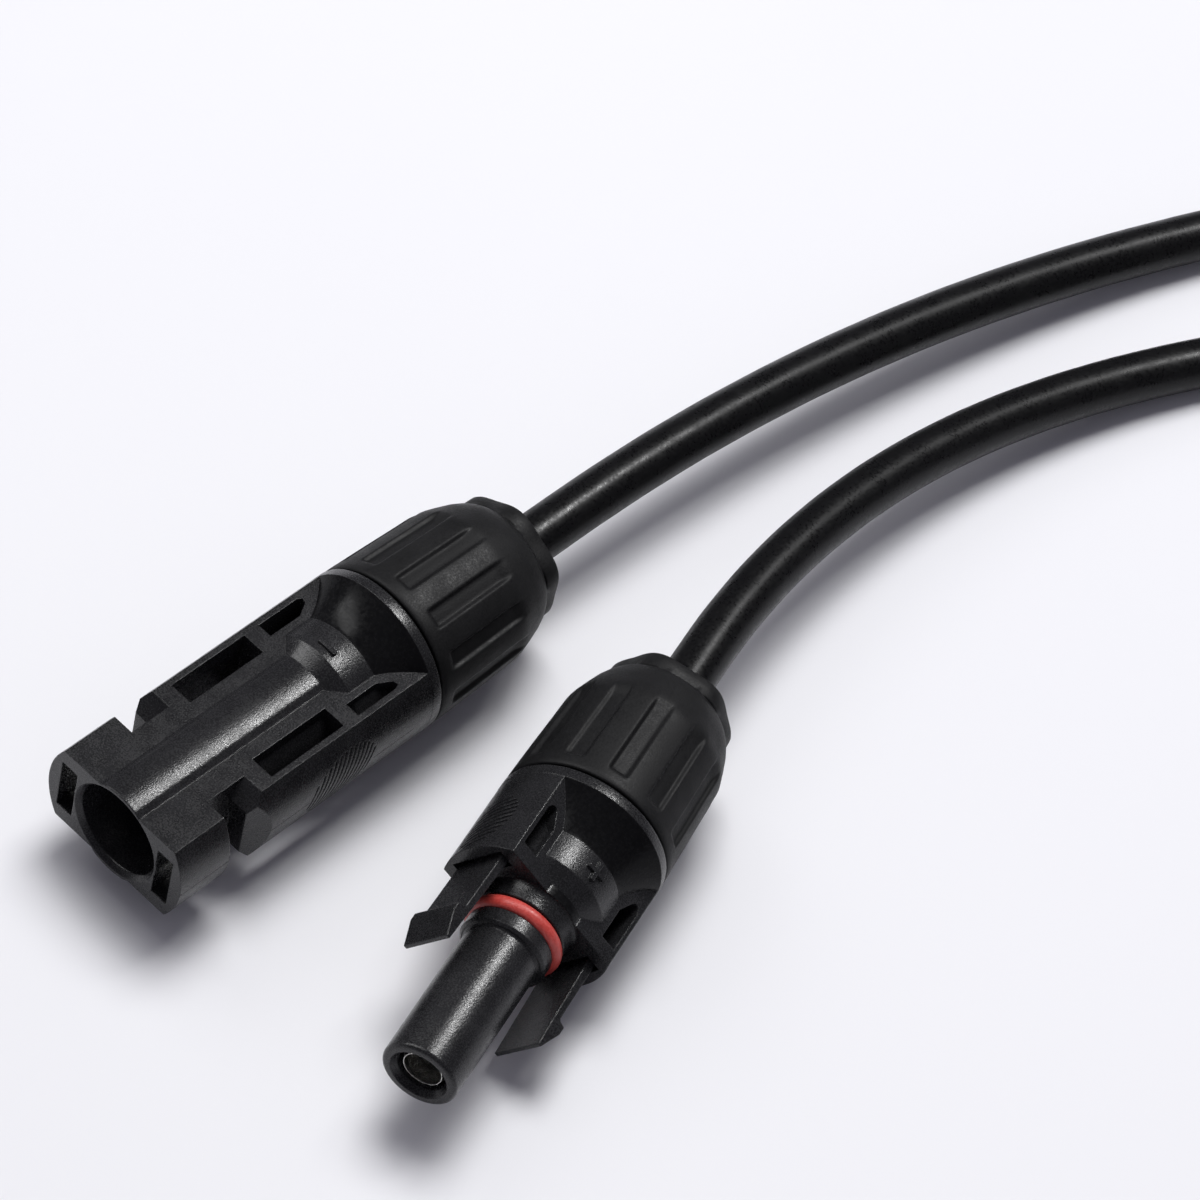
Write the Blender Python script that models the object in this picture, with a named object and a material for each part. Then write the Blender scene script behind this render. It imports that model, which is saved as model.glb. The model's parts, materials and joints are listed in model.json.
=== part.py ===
"""Pair of loose photovoltaic cable connector halves, each crimped to its own cable and lying on a table.

The socket half has a round mating bore between two slotted wings. The plug half has a round nose with a
sealing ring and two sprung latch arms. Each half has a retained contact, a rubber gland, a finger cage and a
fluted cap nut on a threaded spigot. Positions along a half are measured from its mating end, in millimetres.
"""

import math

import bmesh
import bpy
from mathutils import Matrix, Vector

MM = 0.001

# Placement of the two halves on the table (z = 0), before the row origin is moved to the middle.
AXIS_HEIGHT = 9.55
ROW_SHIFT_X = -17.326
ROW_SHIFT_Y = -88.187
PLUG_NOSE_X = 39.6
PLUG_NOSE_Y = 3.3
PLUG_YAW = math.radians(16.587)
PLUG_ROLL = math.radians(37.736)

# Section shared by both housings.
BODY_R = 9.5
FLAT_W = 5.24
TUBE_R = 6.1
PLUG_TUBE_R = 5.7
RING_R = 7.0
SCOOP_LENGTH = 4.5
RIM_LENGTH = 1.3

# Socket half.
SOCKET_SEAM = 36.4
SOCKET_BORE_R = 5.2
SOCKET_BORE_DEPTH = 21.0
SLOT_U = (5.8, 7.95)
SLOT_HALF_HEIGHT = 3.4
NOTCH_FRONT = 6.7
NOTCH_REAR = 11.8
NOTCH_MID_REAR = 9.9
NOTCH_U = 5.45
# Windows through the wings, as (u, s) outlines of the right-hand one.
LARGE_WINDOW = [(4.5, 13.8), (7.2, 13.8), (7.2, 23.8), (4.5, 23.8)]
SMALL_WINDOW = [(5.5, 25.85), (7.2, 25.85), (7.2, 31.1), (6.95, 31.7), (6.4, 31.6), (5.5, 30.0)]

# Plug half.
PLUG_SEAM = 34.6
SHOULDER = 22.4
NOSE_R = 4.1
NOSE_BORE_R = 2.65
COLLAR_R = 4.75
COLLAR_FRONT = 17.0
GROOVE = (18.85, 20.55)
GROOVE_FLOOR_R = 3.75
BOSS_R = 5.1
O_RING_R = 0.78
PLUG_WINDOW = [(5.5, 24.15), (7.4, 24.15), (7.4, 29.45), (6.95, 30.0), (6.35, 29.85), (5.5, 28.0)]

# Latch arms.
ARM_PIVOT = (7.15, 23.0)
ARM_HALF_HEIGHT = 3.3
ARM_THICKNESS = 1.0
ARM_TIP = 11.1
BARB = 14.8
BARB_U = 8.65

# Spigot, thread and cap nut.
SPIGOT_LENGTH = 8.0
SPIGOT_R = 7.2
THREAD_DEPTH = 0.5
THREAD_PITCH = 2.0
CHAMBER_R = 5.0
SEAM_GAP = 0.3
NUT_R = 9.45
NUT_BORE_R = 8.05
CABLE_HOLE_R = 3.15
FLUTES = 12
FLUTE_DEPTH = 0.5

# Cable.
JACKET_R = 2.8
INSULATION_R = 1.95
CONDUCTOR_R = 0.92
LAYER_GAP = 0.06
CABLE_REST_Z = 2.8

BLACK_PLASTIC = ((0.030, 0.030, 0.032), 0.48, 0.0)
NUT_PLASTIC = ((0.022, 0.022, 0.023), 0.60, 0.0)
JACKET_BLACK = ((0.018, 0.018, 0.019), 0.42, 0.0)
INSULATION_WHITE = ((0.62, 0.60, 0.56), 0.50, 0.0)
TINNED = ((0.72, 0.71, 0.68), 0.28, 1.0)
SPRING_STEEL = ((0.56, 0.56, 0.57), 0.32, 1.0)
RED_SILICONE = ((0.52, 0.040, 0.025), 0.45, 0.0)
GLAND_GREY = ((0.10, 0.10, 0.105), 0.70, 0.0)
CAGE_BLACK = ((0.045, 0.045, 0.048), 0.55, 0.0)


def clear_scene():
    for item in list(bpy.data.objects):
        bpy.data.objects.remove(item, do_unlink=True)


def material(name, look):
    colour, roughness, metallic = look
    mat = bpy.data.materials.new(name)
    mat.use_nodes = True
    shader = mat.node_tree.nodes["Principled BSDF"]
    shader.inputs["Base Color"].default_value = (*colour, 1.0)
    shader.inputs["Roughness"].default_value = roughness
    shader.inputs["Metallic"].default_value = metallic
    return mat


def empty(name, matrix, parent=None):
    holder = bpy.data.objects.new(name, None)
    holder.empty_display_size = 0.01
    bpy.context.scene.collection.objects.link(holder)
    holder.parent = parent
    if parent is None:
        holder.matrix_world = matrix
    else:
        holder.matrix_local = matrix
    return holder


def solid(name, points, faces, parent, look=None, origin=(0.0, 0.0, 0.0), smooth=False):
    """Closed mesh object from millimetre points given as (u, s, w) in the frame of its half."""
    offset = Vector(origin)
    mesh = bpy.data.meshes.new(name)
    mesh.from_pydata([(Vector(p) - offset) * MM for p in points], [], faces)
    work = bmesh.new()
    work.from_mesh(mesh)
    bmesh.ops.recalc_face_normals(work, faces=work.faces)
    if work.calc_volume(signed=True) < 0:
        bmesh.ops.reverse_faces(work, faces=work.faces)
    work.to_mesh(mesh)
    work.free()
    item = bpy.data.objects.new(name, mesh)
    bpy.context.scene.collection.objects.link(item)
    item.parent = parent
    item.location = offset * MM
    if look:
        mesh.materials.append(material(name, look))
    if smooth:
        mesh.shade_smooth()
        mesh.set_sharp_from_angle(angle=math.radians(32))
    return item


def turned(name, profile, parent, look=None, angles=32, radius=None, smooth=True):
    """Body turned about the half's axis. A profile that starts and ends at r = 0 is solid, others are rings."""
    if isinstance(angles, int):
        angles = [2 * math.pi * k / angles for k in range(angles)]
    count = len(angles)
    filled = profile[0][1] == 0
    inner = profile[1:-1] if filled else profile
    points = []
    for s, r in inner:
        for a in angles:
            q = radius(s, r, a) if radius else r
            points.append((q * math.sin(a), s, q * math.cos(a)))
    rows = len(inner)
    faces = []
    for i in range(rows - 1 if filled else rows):
        j = (i + 1) % rows
        for k in range(count):
            m = (k + 1) % count
            faces.append((i * count + k, i * count + m, j * count + m, j * count + k))
    if filled:
        faces.append(tuple(range(count))[::-1])
        faces.append(tuple((rows - 1) * count + k for k in range(count)))
    return solid(name, points, faces, parent, look, smooth=smooth)


def prism(name, outline, low, high, along, parent, look=None, origin=(0.0, 0.0, 0.0)):
    """Extrusion of a closed outline along u, s or w."""
    place = {
        "u": lambda p, t: (t, p[0], p[1]),
        "s": lambda p, t: (p[0], t, p[1]),
        "w": lambda p, t: (p[0], p[1], t),
    }[along]
    count = len(outline)
    points = [place(p, low) for p in outline] + [place(p, high) for p in outline]
    faces = [tuple(range(count))[::-1], tuple(range(count, 2 * count))]
    faces += [(k, (k + 1) % count, count + (k + 1) % count, count + k) for k in range(count)]
    return solid(name, points, faces, parent, look, origin)


def combine(target, tool, operation):
    """Boolean with a hidden helper body."""
    step = target.modifiers.new(tool.name, "BOOLEAN")
    step.operation = operation
    step.object = tool
    step.solver = "EXACT"
    tool.hide_render = True
    tool.display_type = "WIRE"


def rectangle(a0, a1, b0, b1):
    return [(a0, b0), (a1, b0), (a1, b1), (a0, b1)]


def wing_section(steps=7):
    """Round section of the body cut by the two flats."""
    edge = math.asin(FLAT_W / BODY_R)
    arc = [-edge + 2 * edge * k / steps for k in range(steps + 1)]
    right = [(BODY_R * math.cos(a), BODY_R * math.sin(a)) for a in arc]
    return right + [(-u, -w) for u, w in right]


def thread_radius(start):
    """Radius of the spigot with a right-hand thread that fades out at both ends."""
    end = start + SPIGOT_LENGTH - 1.0

    def radius(s, r, a):
        if r < SPIGOT_R - 0.01 or not start < s < end:
            return r
        turn = (s / THREAD_PITCH + a / (2 * math.pi)) % 1.0
        return r + THREAD_DEPTH * (1 - abs(2 * turn - 1))

    return radius


def thread_rings(start, chamber_front):
    """Profile points of the threaded spigot, then of the chamber inside it."""
    rings = 11
    length = SPIGOT_LENGTH - 1.6
    points = [(start + 0.8 + length * k / rings, SPIGOT_R) for k in range(rings + 1)]
    points = [(start, SPIGOT_R)] + points
    points += [(start + SPIGOT_LENGTH, SPIGOT_R - 0.3), (start + SPIGOT_LENGTH, CHAMBER_R)]
    return points + [(chamber_front, CHAMBER_R)]


def rear_shoulder(seam, tube_r):
    """Raised half-ring, scoop and rim in front of the seam."""
    scoop = seam - RIM_LENGTH - SCOOP_LENGTH
    return [
        (seam - 11.1, tube_r),
        (seam - 9.4, RING_R),
        (scoop, RING_R),
        (scoop + 1.1, RING_R + 0.39),
        (scoop + 2.25, RING_R + 0.94),
        (scoop + 3.4, RING_R + 1.65),
        (seam - RIM_LENGTH, BODY_R),
        (seam - 0.25, BODY_R),
        (seam, BODY_R - 0.2),
    ]


def socket_housing(half):
    core = turned(
        "socket_housing",
        [(0.0, SOCKET_BORE_R + 0.35), (0.0, TUBE_R)]
        + rear_shoulder(SOCKET_SEAM, TUBE_R)
        + thread_rings(SOCKET_SEAM, SOCKET_BORE_DEPTH + 4.5)
        + [
            (SOCKET_BORE_DEPTH + 4.5, 3.0),
            (SOCKET_BORE_DEPTH, 3.0),
            (SOCKET_BORE_DEPTH, SOCKET_BORE_R),
            (0.5, SOCKET_BORE_R),
        ],
        half,
        BLACK_PLASTIC,
        radius=thread_radius(SOCKET_SEAM),
    )
    wings = prism("socket_wings", wing_section(), 0.0, SOCKET_SEAM - RIM_LENGTH + 0.02, "s", half)
    hollow = turned("socket_hollow", [(-1, 0), (-1, 5.8), (40, 5.8), (40, 0)], half)
    combine(wings, hollow, "DIFFERENCE")
    for side in (1, -1):
        label = "right" if side > 0 else "left"
        slot = prism(
            "slot_" + label,
            rectangle(side * SLOT_U[0], side * SLOT_U[1], -SLOT_HALF_HEIGHT, SLOT_HALF_HEIGHT),
            -1.0,
            NOTCH_FRONT + 1.0,
            "s",
            half,
        )
        reach = FLAT_W + 1.0
        lean = (NOTCH_REAR - NOTCH_MID_REAR) / (FLAT_W - 3.2)
        notch = prism(
            "notch_" + label,
            [
                (NOTCH_FRONT, -reach),
                (NOTCH_REAR + lean, -reach),
                (NOTCH_MID_REAR, -3.2),
                (NOTCH_MID_REAR, 3.2),
                (NOTCH_REAR + lean, reach),
                (NOTCH_FRONT, reach),
            ],
            side * NOTCH_U,
            side * 12.0,
            "u",
            half,
        )
        corner = prism(
            "corner_" + label,
            [(side * 8.0, 9.0), (side * 8.0, 9.9), (side * 9.7, 12.9), (side * 11.0, 12.9), (side * 11.0, 9.0)],
            -7.0,
            7.0,
            "w",
            half,
        )
        tools = [slot, notch, corner]
        for kind, window in (("large", LARGE_WINDOW), ("small", SMALL_WINDOW)):
            outline = [(side * u, s) for u, s in window]
            tools.append(prism(kind + "_window_" + label, outline, -7.0, 7.0, "w", half))
        for tool in tools:
            combine(wings, tool, "DIFFERENCE")
    combine(core, wings, "UNION")
    return core


def plug_housing(half):
    core = turned(
        "plug_housing",
        [
            (0.35, NOSE_R),
            (COLLAR_FRONT, NOSE_R),
            (COLLAR_FRONT, COLLAR_R),
            (GROOVE[0], COLLAR_R),
            (GROOVE[0], GROOVE_FLOOR_R),
            (GROOVE[1], GROOVE_FLOOR_R),
            (GROOVE[1], BOSS_R),
            (SHOULDER, PLUG_TUBE_R),
        ]
        + rear_shoulder(PLUG_SEAM, PLUG_TUBE_R)
        + thread_rings(PLUG_SEAM, 24.0)
        + [(24.0, 2.9), (22.0, 2.9), (22.0, 3.45), (18.5, 3.2), (18.5, NOSE_BORE_R), (0.6, NOSE_BORE_R)]
        + [(0.0, 3.1), (0.0, NOSE_R - 0.35)],
        half,
        BLACK_PLASTIC,
        radius=thread_radius(PLUG_SEAM),
    )
    wings = prism("plug_wings", wing_section(), SHOULDER, PLUG_SEAM - RIM_LENGTH + 0.02, "s", half)
    hollow = turned("plug_hollow", [(20, 0), (20, 5.6), (40, 5.6), (40, 0)], half)
    combine(wings, hollow, "DIFFERENCE")
    for side in (1, -1):
        label = "right" if side > 0 else "left"
        pocket = prism(
            "pocket_" + label,
            rectangle(side * 6.25, side * 8.15, -ARM_HALF_HEIGHT - 0.3, ARM_HALF_HEIGHT + 0.3),
            SHOULDER - 1.0,
            PLUG_WINDOW[0][1] - 0.3,
            "s",
            half,
        )
        outline = [(side * u, s) for u, s in PLUG_WINDOW]
        window = prism("plug_window_" + label, outline, -7.0, 7.0, "w", half)
        for tool in (pocket, window):
            combine(wings, tool, "DIFFERENCE")
    combine(core, wings, "UNION")
    return core


def latch_arm(name, side, half):
    """Flat sprung arm with a chisel tip and an outward barb, made about its root."""
    pivot_u, pivot_s = ARM_PIVOT
    stem = pivot_u + ARM_THICKNESS / 2
    outline = [
        (pivot_u - 0.45, pivot_s + 0.5),
        (pivot_u + 0.45, pivot_s + 0.5),
        (stem, pivot_s),
        (stem + 0.12, BARB + 0.25),
        (BARB_U, BARB),
        (BARB_U, BARB - 1.0),
        (7.6, ARM_TIP),
        (7.2, ARM_TIP),
        (pivot_u - ARM_THICKNESS / 2, pivot_s),
    ]
    outline = [(side * u, s) for u, s in outline]
    origin = (side * pivot_u, pivot_s, 0.0)
    return prism(name, outline, -ARM_HALF_HEIGHT, ARM_HALF_HEIGHT, "w", half, BLACK_PLASTIC, origin)


def nut_angles():
    """Four edges for each flute: two at its rims and two at its floor."""
    half_floor = math.radians(5.4)
    half_rim = math.radians(7.4)
    step = 2 * math.pi / FLUTES
    edges = (-half_rim, -half_floor, half_floor, half_rim)
    return [k * step + e for k in range(FLUTES) for e in edges]


def cap_nut(name, seam, half):
    start = seam + SEAM_GAP
    outer = [(0.0, 9.2), (0.3, NUT_R), (1.7, 9.43), (5.0, 9.35), (9.0, 9.2), (11.9, 9.12), (12.4, 9.06)]
    outer += [(14.2, 8.57), (15.7, 8.08), (16.8, 7.58), (17.6, 7.0), (17.7, 6.85), (19.4, 6.85), (19.7, 6.55)]
    inner = [(19.7, CABLE_HOLE_R), (17.4, CABLE_HOLE_R), (14.8, 5.25), (12.2, 5.25), (9.6, NUT_BORE_R)]
    inner += [(0.0, NUT_BORE_R)]

    def radius(s, r, a):
        t = s - start
        beat = (math.degrees(a) + 15.0) % 30.0 - 15.0
        if r > 8.9 and 1.6 < t < 12.0 and abs(beat) < 6.0:
            return r - FLUTE_DEPTH
        if 17.65 < t and r > 6.0:
            return r + 0.25 * math.cos(6 * a)
        return r

    profile = [(start + t, r) for t, r in outer + inner]
    return turned(name, profile, half, NUT_PLASTIC, nut_angles(), radius)


def clamp_cage(name, seam, half):
    """Ring with eight tapering fingers that grip the jacket when the cap nut closes them."""
    s = seam + 1.6
    profile = [(s, 3.1), (s, 4.7), (s + 7.5, 4.7), (s + 10.5, 4.3), (s + 10.5, 3.1)]
    cage = turned(name, profile, half, CAGE_BLACK, 24)
    for k in range(4):
        a = math.pi * k / 4 + math.radians(7.5)
        blade = prism("cut_%s_%d" % (name, k), rectangle(-6.0, 6.0, -0.3, 0.3), s + 2.2, s + 12.0, "s", half)
        blade.rotation_euler = (0.0, a, 0.0)
        combine(cage, blade, "DIFFERENCE")
    return cage


def gland_seal(name, seam, half):
    """Rubber gland with three outer lips."""
    s = seam - 4.6
    profile = [(s, 2.86), (s, 4.4)]
    for k in range(3):
        at = s + 0.5 + 1.9 * k
        profile += [(at + 0.3, 4.85), (at + 0.9, 4.85), (at + 1.3, 4.4)]
    profile += [(s + 5.9, 4.4), (s + 5.9, 2.86)]
    return turned(name, profile, half, GLAND_GREY, 20)


def contact_clip(name, at, inner_r, half):
    """Split spring ring that locks the contact in the housing."""
    clip = turned(name, [(at, inner_r), (at, 4.3), (at + 0.5, 4.75), (at + 1.0, 4.3), (at + 1.0, inner_r)], half,
                  SPRING_STEEL, 20)
    gap = prism("cut_" + name, rectangle(-0.4, 0.4, 0.0, 6.0), at - 1.0, at + 2.0, "s", half)
    combine(clip, gap, "DIFFERENCE")
    return clip


def cable_path(start, lead_s, straight_s, knee, tail, end):
    """Centre line: straight through the half, then a sagging bend that comes to rest on the table."""
    base = [start(lead_s + (straight_s - lead_s) * k / 3) for k in range(3)]
    p0 = start(straight_s)
    for k in range(13):
        t = k / 12
        c = ((1 - t) ** 3, 3 * t * (1 - t) ** 2, 3 * t * t * (1 - t), t ** 3)
        base.append(p0 * c[0] + knee * c[1] + tail * c[2] + end * c[3])
    return base


def swept(name, path, outer, inner, look, parent, count, skip_start, skip_end):
    """Tube or rod that follows a path, trimmed by a length at each end. inner = 0 makes a rod."""
    way = list(path)
    way[0] = way[0] + (way[1] - way[0]).normalized() * skip_start
    way[-1] = way[-1] + (way[-2] - way[-1]).normalized() * skip_end
    rows = []
    for i, point in enumerate(way):
        back = path[max(i - 1, 0)]
        ahead = path[min(i + 1, len(path) - 1)]
        along = (ahead - back).normalized()
        side = along.cross(Vector((0, 0, 1))).normalized()
        up = side.cross(along)
        rows.append((point, side, up))
    points = []
    for r in (outer, inner) if inner else (outer,):
        for point, side, up in rows:
            for k in range(count):
                a = 2 * math.pi * k / count
                points.append(point + side * (r * math.cos(a)) + up * (r * math.sin(a)))
    n = len(rows)
    faces = []
    for shell in range(2 if inner else 1):
        base = shell * n * count
        for i in range(n - 1):
            for k in range(count):
                m = (k + 1) % count
                low = base + i * count
                faces.append((low + k, low + m, low + count + m, low + count + k))
    for row in (0, n - 1):
        if inner:
            for k in range(count):
                m = (k + 1) % count
                low = row * count
                far = low + n * count
                faces.append((low + k, low + m, far + m, far + k))
        else:
            faces.append(tuple(row * count + k for k in range(count)))
    return solid(name, points, faces, parent, look, smooth=True)


def cable(prefix, path, table):
    swept(prefix + "_cable_jacket", path, JACKET_R, INSULATION_R + LAYER_GAP, JACKET_BLACK, table, 16, 2.0, 0.0)
    swept(prefix + "_cable_insulation", path, INSULATION_R, CONDUCTOR_R + LAYER_GAP, INSULATION_WHITE, table,
          12, 1.0, -2.5)
    swept(prefix + "_cable_conductor", path, CONDUCTOR_R, 0.0, TINNED, table, 12, -3.5, -6.0)


def contacts(socket_half, plug_half):
    pin = [(4.0, 0.0), (4.0, 1.1), (4.9, 1.95), (20.6, 1.95), (20.6, 2.8), (22.2, 2.8), (22.2, 2.3), (27.9, 2.3)]
    pin += [(27.9, 1.1), (23.4, 1.1), (23.4, 0.0)]
    turned("pin_contact", pin, socket_half, TINNED, 20)
    barrel = [(1.3, 2.35), (0.9, 2.03), (0.9, 2.15), (2.0, 2.5), (19.0, 2.5), (19.0, 3.1), (21.6, 3.1), (21.6, 2.3)]
    barrel += [(26.4, 2.3), (26.4, 1.1), (21.0, 1.1), (21.0, 0.0)]
    barrel = [(16.0, 0.0), (16.0, 2.35)] + barrel
    turned("barrel_contact", barrel, plug_half, TINNED, 20)
    band = [(5.0, 1.98), (5.0, 2.2), (6.2, 2.12), (9.0, 2.08), (11.8, 2.12), (13.0, 2.2), (13.0, 1.98)]
    band += [(9.0, 1.94)]
    turned("louver_band", band, plug_half, SPRING_STEEL, 20)


def main():
    clear_scene()
    row = Matrix.Translation(Vector((ROW_SHIFT_X, ROW_SHIFT_Y, 0.0)) * MM)
    socket_place = row @ Matrix.Translation(Vector((0.0, 0.0, AXIS_HEIGHT)) * MM)
    plug_place = row @ Matrix.Translation(Vector((PLUG_NOSE_X, PLUG_NOSE_Y, AXIS_HEIGHT)) * MM)
    plug_place = plug_place @ Matrix.Rotation(PLUG_YAW, 4, "Z") @ Matrix.Rotation(PLUG_ROLL, 4, "Y")
    table = empty("table_frame", row)
    socket_half = empty("socket_axis", socket_place)
    plug_half = empty("plug_axis", plug_place)

    socket_housing(socket_half)
    plug_housing(plug_half)
    latch_arm("latch_arm_right", 1, plug_half)
    latch_arm("latch_arm_left", -1, plug_half)
    ring_s = sum(GROOVE) / 2
    ring_r = GROOVE_FLOOR_R + 0.04 + O_RING_R
    ring = [(ring_s + O_RING_R * math.cos(a), ring_r + O_RING_R * math.sin(a))
            for a in [math.pi * k / 4 for k in range(8)]]
    turned("nose_o_ring", ring, plug_half, RED_SILICONE, 32)
    contacts(socket_half, plug_half)
    contact_clip("socket_contact_clip", 26.3, 2.45, socket_half)
    contact_clip("plug_contact_clip", 24.4, 2.45, plug_half)
    for prefix, seam, half in (("socket", SOCKET_SEAM, socket_half), ("plug", PLUG_SEAM, plug_half)):
        gland_seal(prefix + "_seal", seam, half)
        clamp_cage(prefix + "_clamp_cage", seam, half)
        cap_nut(prefix + "_cap_nut", seam, half)

    heading = Vector((-math.sin(PLUG_YAW), math.cos(PLUG_YAW), 0.0))
    nose = Vector((PLUG_NOSE_X, PLUG_NOSE_Y, AXIS_HEIGHT))
    mouth = Vector((0.0, 0.0, AXIS_HEIGHT))
    socket_path = cable_path(
        lambda s: mouth + Vector((0.0, s, 0.0)),
        27.4,
        64.0,
        Vector((0.4, 101.0, AXIS_HEIGHT)),
        Vector((4.9, 137.8, CABLE_REST_Z)),
        Vector((20.0, 170.5, CABLE_REST_Z)),
    )
    plug_path = cable_path(
        lambda s: nose + heading * s,
        25.9,
        62.0,
        nose + heading * 92.0,
        Vector((15.6, 122.8, CABLE_REST_Z)),
        Vector((32.0, 153.0, CABLE_REST_Z)),
    )
    cable("socket", socket_path, table)
    cable("plug", plug_path, table)


main()
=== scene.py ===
"""Looks of the solar cable connector pair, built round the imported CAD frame.

Lengths inside a half are in millimetres from its mating end: u to the right, s along the axis, w up.
A name that ends in U, S, W or R is measured along u, s or w, or is a radius.
Distances in materials, lights and camera are in metres.
"""

import json
import math

import bmesh
import bpy
from mathutils import Matrix, Vector


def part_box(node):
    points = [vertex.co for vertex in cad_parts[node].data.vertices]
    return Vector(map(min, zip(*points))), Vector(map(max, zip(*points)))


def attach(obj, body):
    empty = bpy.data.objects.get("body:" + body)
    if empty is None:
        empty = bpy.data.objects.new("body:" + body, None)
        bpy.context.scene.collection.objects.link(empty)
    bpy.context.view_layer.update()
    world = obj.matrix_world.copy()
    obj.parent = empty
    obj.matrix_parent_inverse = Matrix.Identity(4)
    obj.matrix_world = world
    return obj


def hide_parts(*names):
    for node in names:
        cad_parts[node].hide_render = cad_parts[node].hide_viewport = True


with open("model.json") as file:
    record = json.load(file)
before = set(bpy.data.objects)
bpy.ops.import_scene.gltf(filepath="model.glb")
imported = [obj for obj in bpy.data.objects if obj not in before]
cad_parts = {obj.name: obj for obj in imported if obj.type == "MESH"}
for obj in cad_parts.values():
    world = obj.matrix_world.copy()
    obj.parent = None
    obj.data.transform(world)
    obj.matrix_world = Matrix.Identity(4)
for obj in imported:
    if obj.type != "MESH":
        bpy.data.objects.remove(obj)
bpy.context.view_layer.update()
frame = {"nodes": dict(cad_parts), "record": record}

MM = 0.001

# Section shared by both housings.
BODY_R = 9.5
FLAT_W = 5.24
WING_R = BODY_R - 0.02
WING_HOLLOW_R = 5.75
RIDGE_EDGE = 20.5
RIDGE_FOOT_U = 2.8
TUBE_R = 6.1
BEVEL_FRONT = 11.1
RING_R = 7.0
SCOOP_LENGTH = 4.5
RIM_LENGTH = 1.3
SEAM_GAP = 0.3

# How far the cutters reach past the housings.
CLEAR_W = 7.0
CLEAR_U = 12.0
CLEAR_S = 40.0

# Socket half.
SOCKET_NUT_S = 45.0
SOCKET_SEAM = 36.4
BORE_R = 5.2
BORE_DEPTH = 21.0
SLOT_U = (5.8, 7.95)
SLOT_W = 3.4
NOTCH = (6.7, 9.9, 11.8)
NOTCH_U = 5.45
NOTCH_HALF = 3.2
CORNER = [(8.0, 9.0), (8.0, 9.9), (9.7, 12.9), (11.0, 12.9), (11.0, 9.0)]
LARGE_WINDOW = [(4.5, 13.8), (7.2, 13.8), (7.2, 23.8), (4.5, 23.8)]
SMALL_WINDOW = [(5.5, 25.85), (7.2, 25.85), (7.2, 31.1), (6.95, 31.7), (6.4, 31.6), (5.5, 30.0)]

# Plug half.
PLUG_NUT_S = 43.0
PLUG_SEAM = 34.6
SHOULDER = 22.4
PLUG_TUBE_R = 5.7
NOSE_R = 4.1
NOSE_BORE_R = 2.65
COLLAR_R = 4.75
COLLAR_FRONT = 17.0
GROOVE = (18.85, 20.55)
GROOVE_R = 3.75
O_RING_R = 0.78
POCKET_U = (6.25, 8.15)
PLUG_WINDOW = [(5.5, 24.15), (7.4, 24.15), (7.4, 29.3), (7.2, 29.8)]
PLUG_WINDOW += [(6.9, 30.0), (6.6, 30.0), (6.35, 29.8), (5.5, 28.0)]

# Grip grooves on the wing sides, in an oval given by its middle, half length and half height, and the
# line where the mould halves met.
RIB_PITCH = 0.66
RIB_SLANT = 0.4
RIB_WIDTH = 0.34
RIB_DEPTH = 0.26
SOCKET_OVAL = (22.3, 4.0, 3.4)
PLUG_OVAL = (26.2, 3.0, 2.9)
PARTING_W = -0.3
SOCKET_PARTING = ((-0.5, 17.8), (26.8, 32.5))

# Raised polarity signs on the half-rings.
SIGN_HALF = 1.15
SIGN_LINE = 0.25
SIGN_RISE = 0.3

# Latch arm.
ARM_U = 7.15
ARM_S = 23.0
ARM_HALF = 3.3
BARB = 14.8
BARB_U = 8.65
ARM_TIP = 11.1

# Spigot and nut.
SPIGOT_LENGTH = 8.0
SPIGOT_R = 7.2
THREAD_DEPTH = 0.5
THREAD_PITCH = 2.0
CHAMBER_R = 5.0
NUT_R = 9.45
NUT_BORE_R = 8.05
HOLE_R = 3.15
FLUTES = 12
FLUTE_STEP = 360.0 / FLUTES
FLUTE_DEPTH = 0.42
COLLAR_RIPPLE = 0.25

# Contacts.
PIN_R = 1.95
BARREL_R = 2.5
BARREL_BORE_R = 2.35
CRIMP_R = 2.3
CRIMP_BORE_R = 1.1

# Cable.
JACKET_R = 2.8
INSULATION_R = 1.95
CONDUCTOR_R = 0.92
LAYER_GAP = 0.06
JACKET_WOBBLE = 0.006
BARE_LENGTH = 6.0

# Lie of each cable: the stations of its start, of the start of its curve and of the curve's first handle,
# and the way from the curve's last handle to its end.
SOCKET_LIE = (27.4, 64.0, 101.0, (15.1, 32.7, 0.0))
PLUG_LIE = (25.9, 62.0, 92.0, (16.4, 30.2, 0.0))

# Stage, lights and camera, in metres from the middle of the pair.
TABLE_HALF = 3.0
TABLE_COLOURS = ((0.80, 0.80, 0.83), (0.83, 0.83, 0.85))
ROOM_COLOUR = (0.87, 0.85, 1.0, 1.0)
ROOM_LIGHT = 0.22
ROOM_IN_HIGHLIGHTS = 0.10
CAMERA_AT = (0.19474, -0.34797, 0.47193)
CAMERA_PAN = 32.343
CAMERA_TILT = 39.239
CAMERA_ROLL = 15.119
CAMERA_LENS = 173.3


# ---------------------------------------------------------------- frame of each half

def joint(name):
    for item in frame["record"]["behaviour"]["joints"]:
        if item["name"] == name:
            return item
    raise KeyError(name)


def half_matrix(pivot, axis, up, back):
    """Matrix from (u, s, w) to the row frame. pivot lies on the axis, back metres behind the mating end."""
    s = Vector(axis).normalized()
    w = (Vector(up) - s * Vector(up).dot(s)).normalized()
    u = s.cross(w)
    turn = Matrix((u, s, w)).transposed().to_4x4()
    return Matrix.Translation(Vector(pivot) - s * back) @ turn


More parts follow.
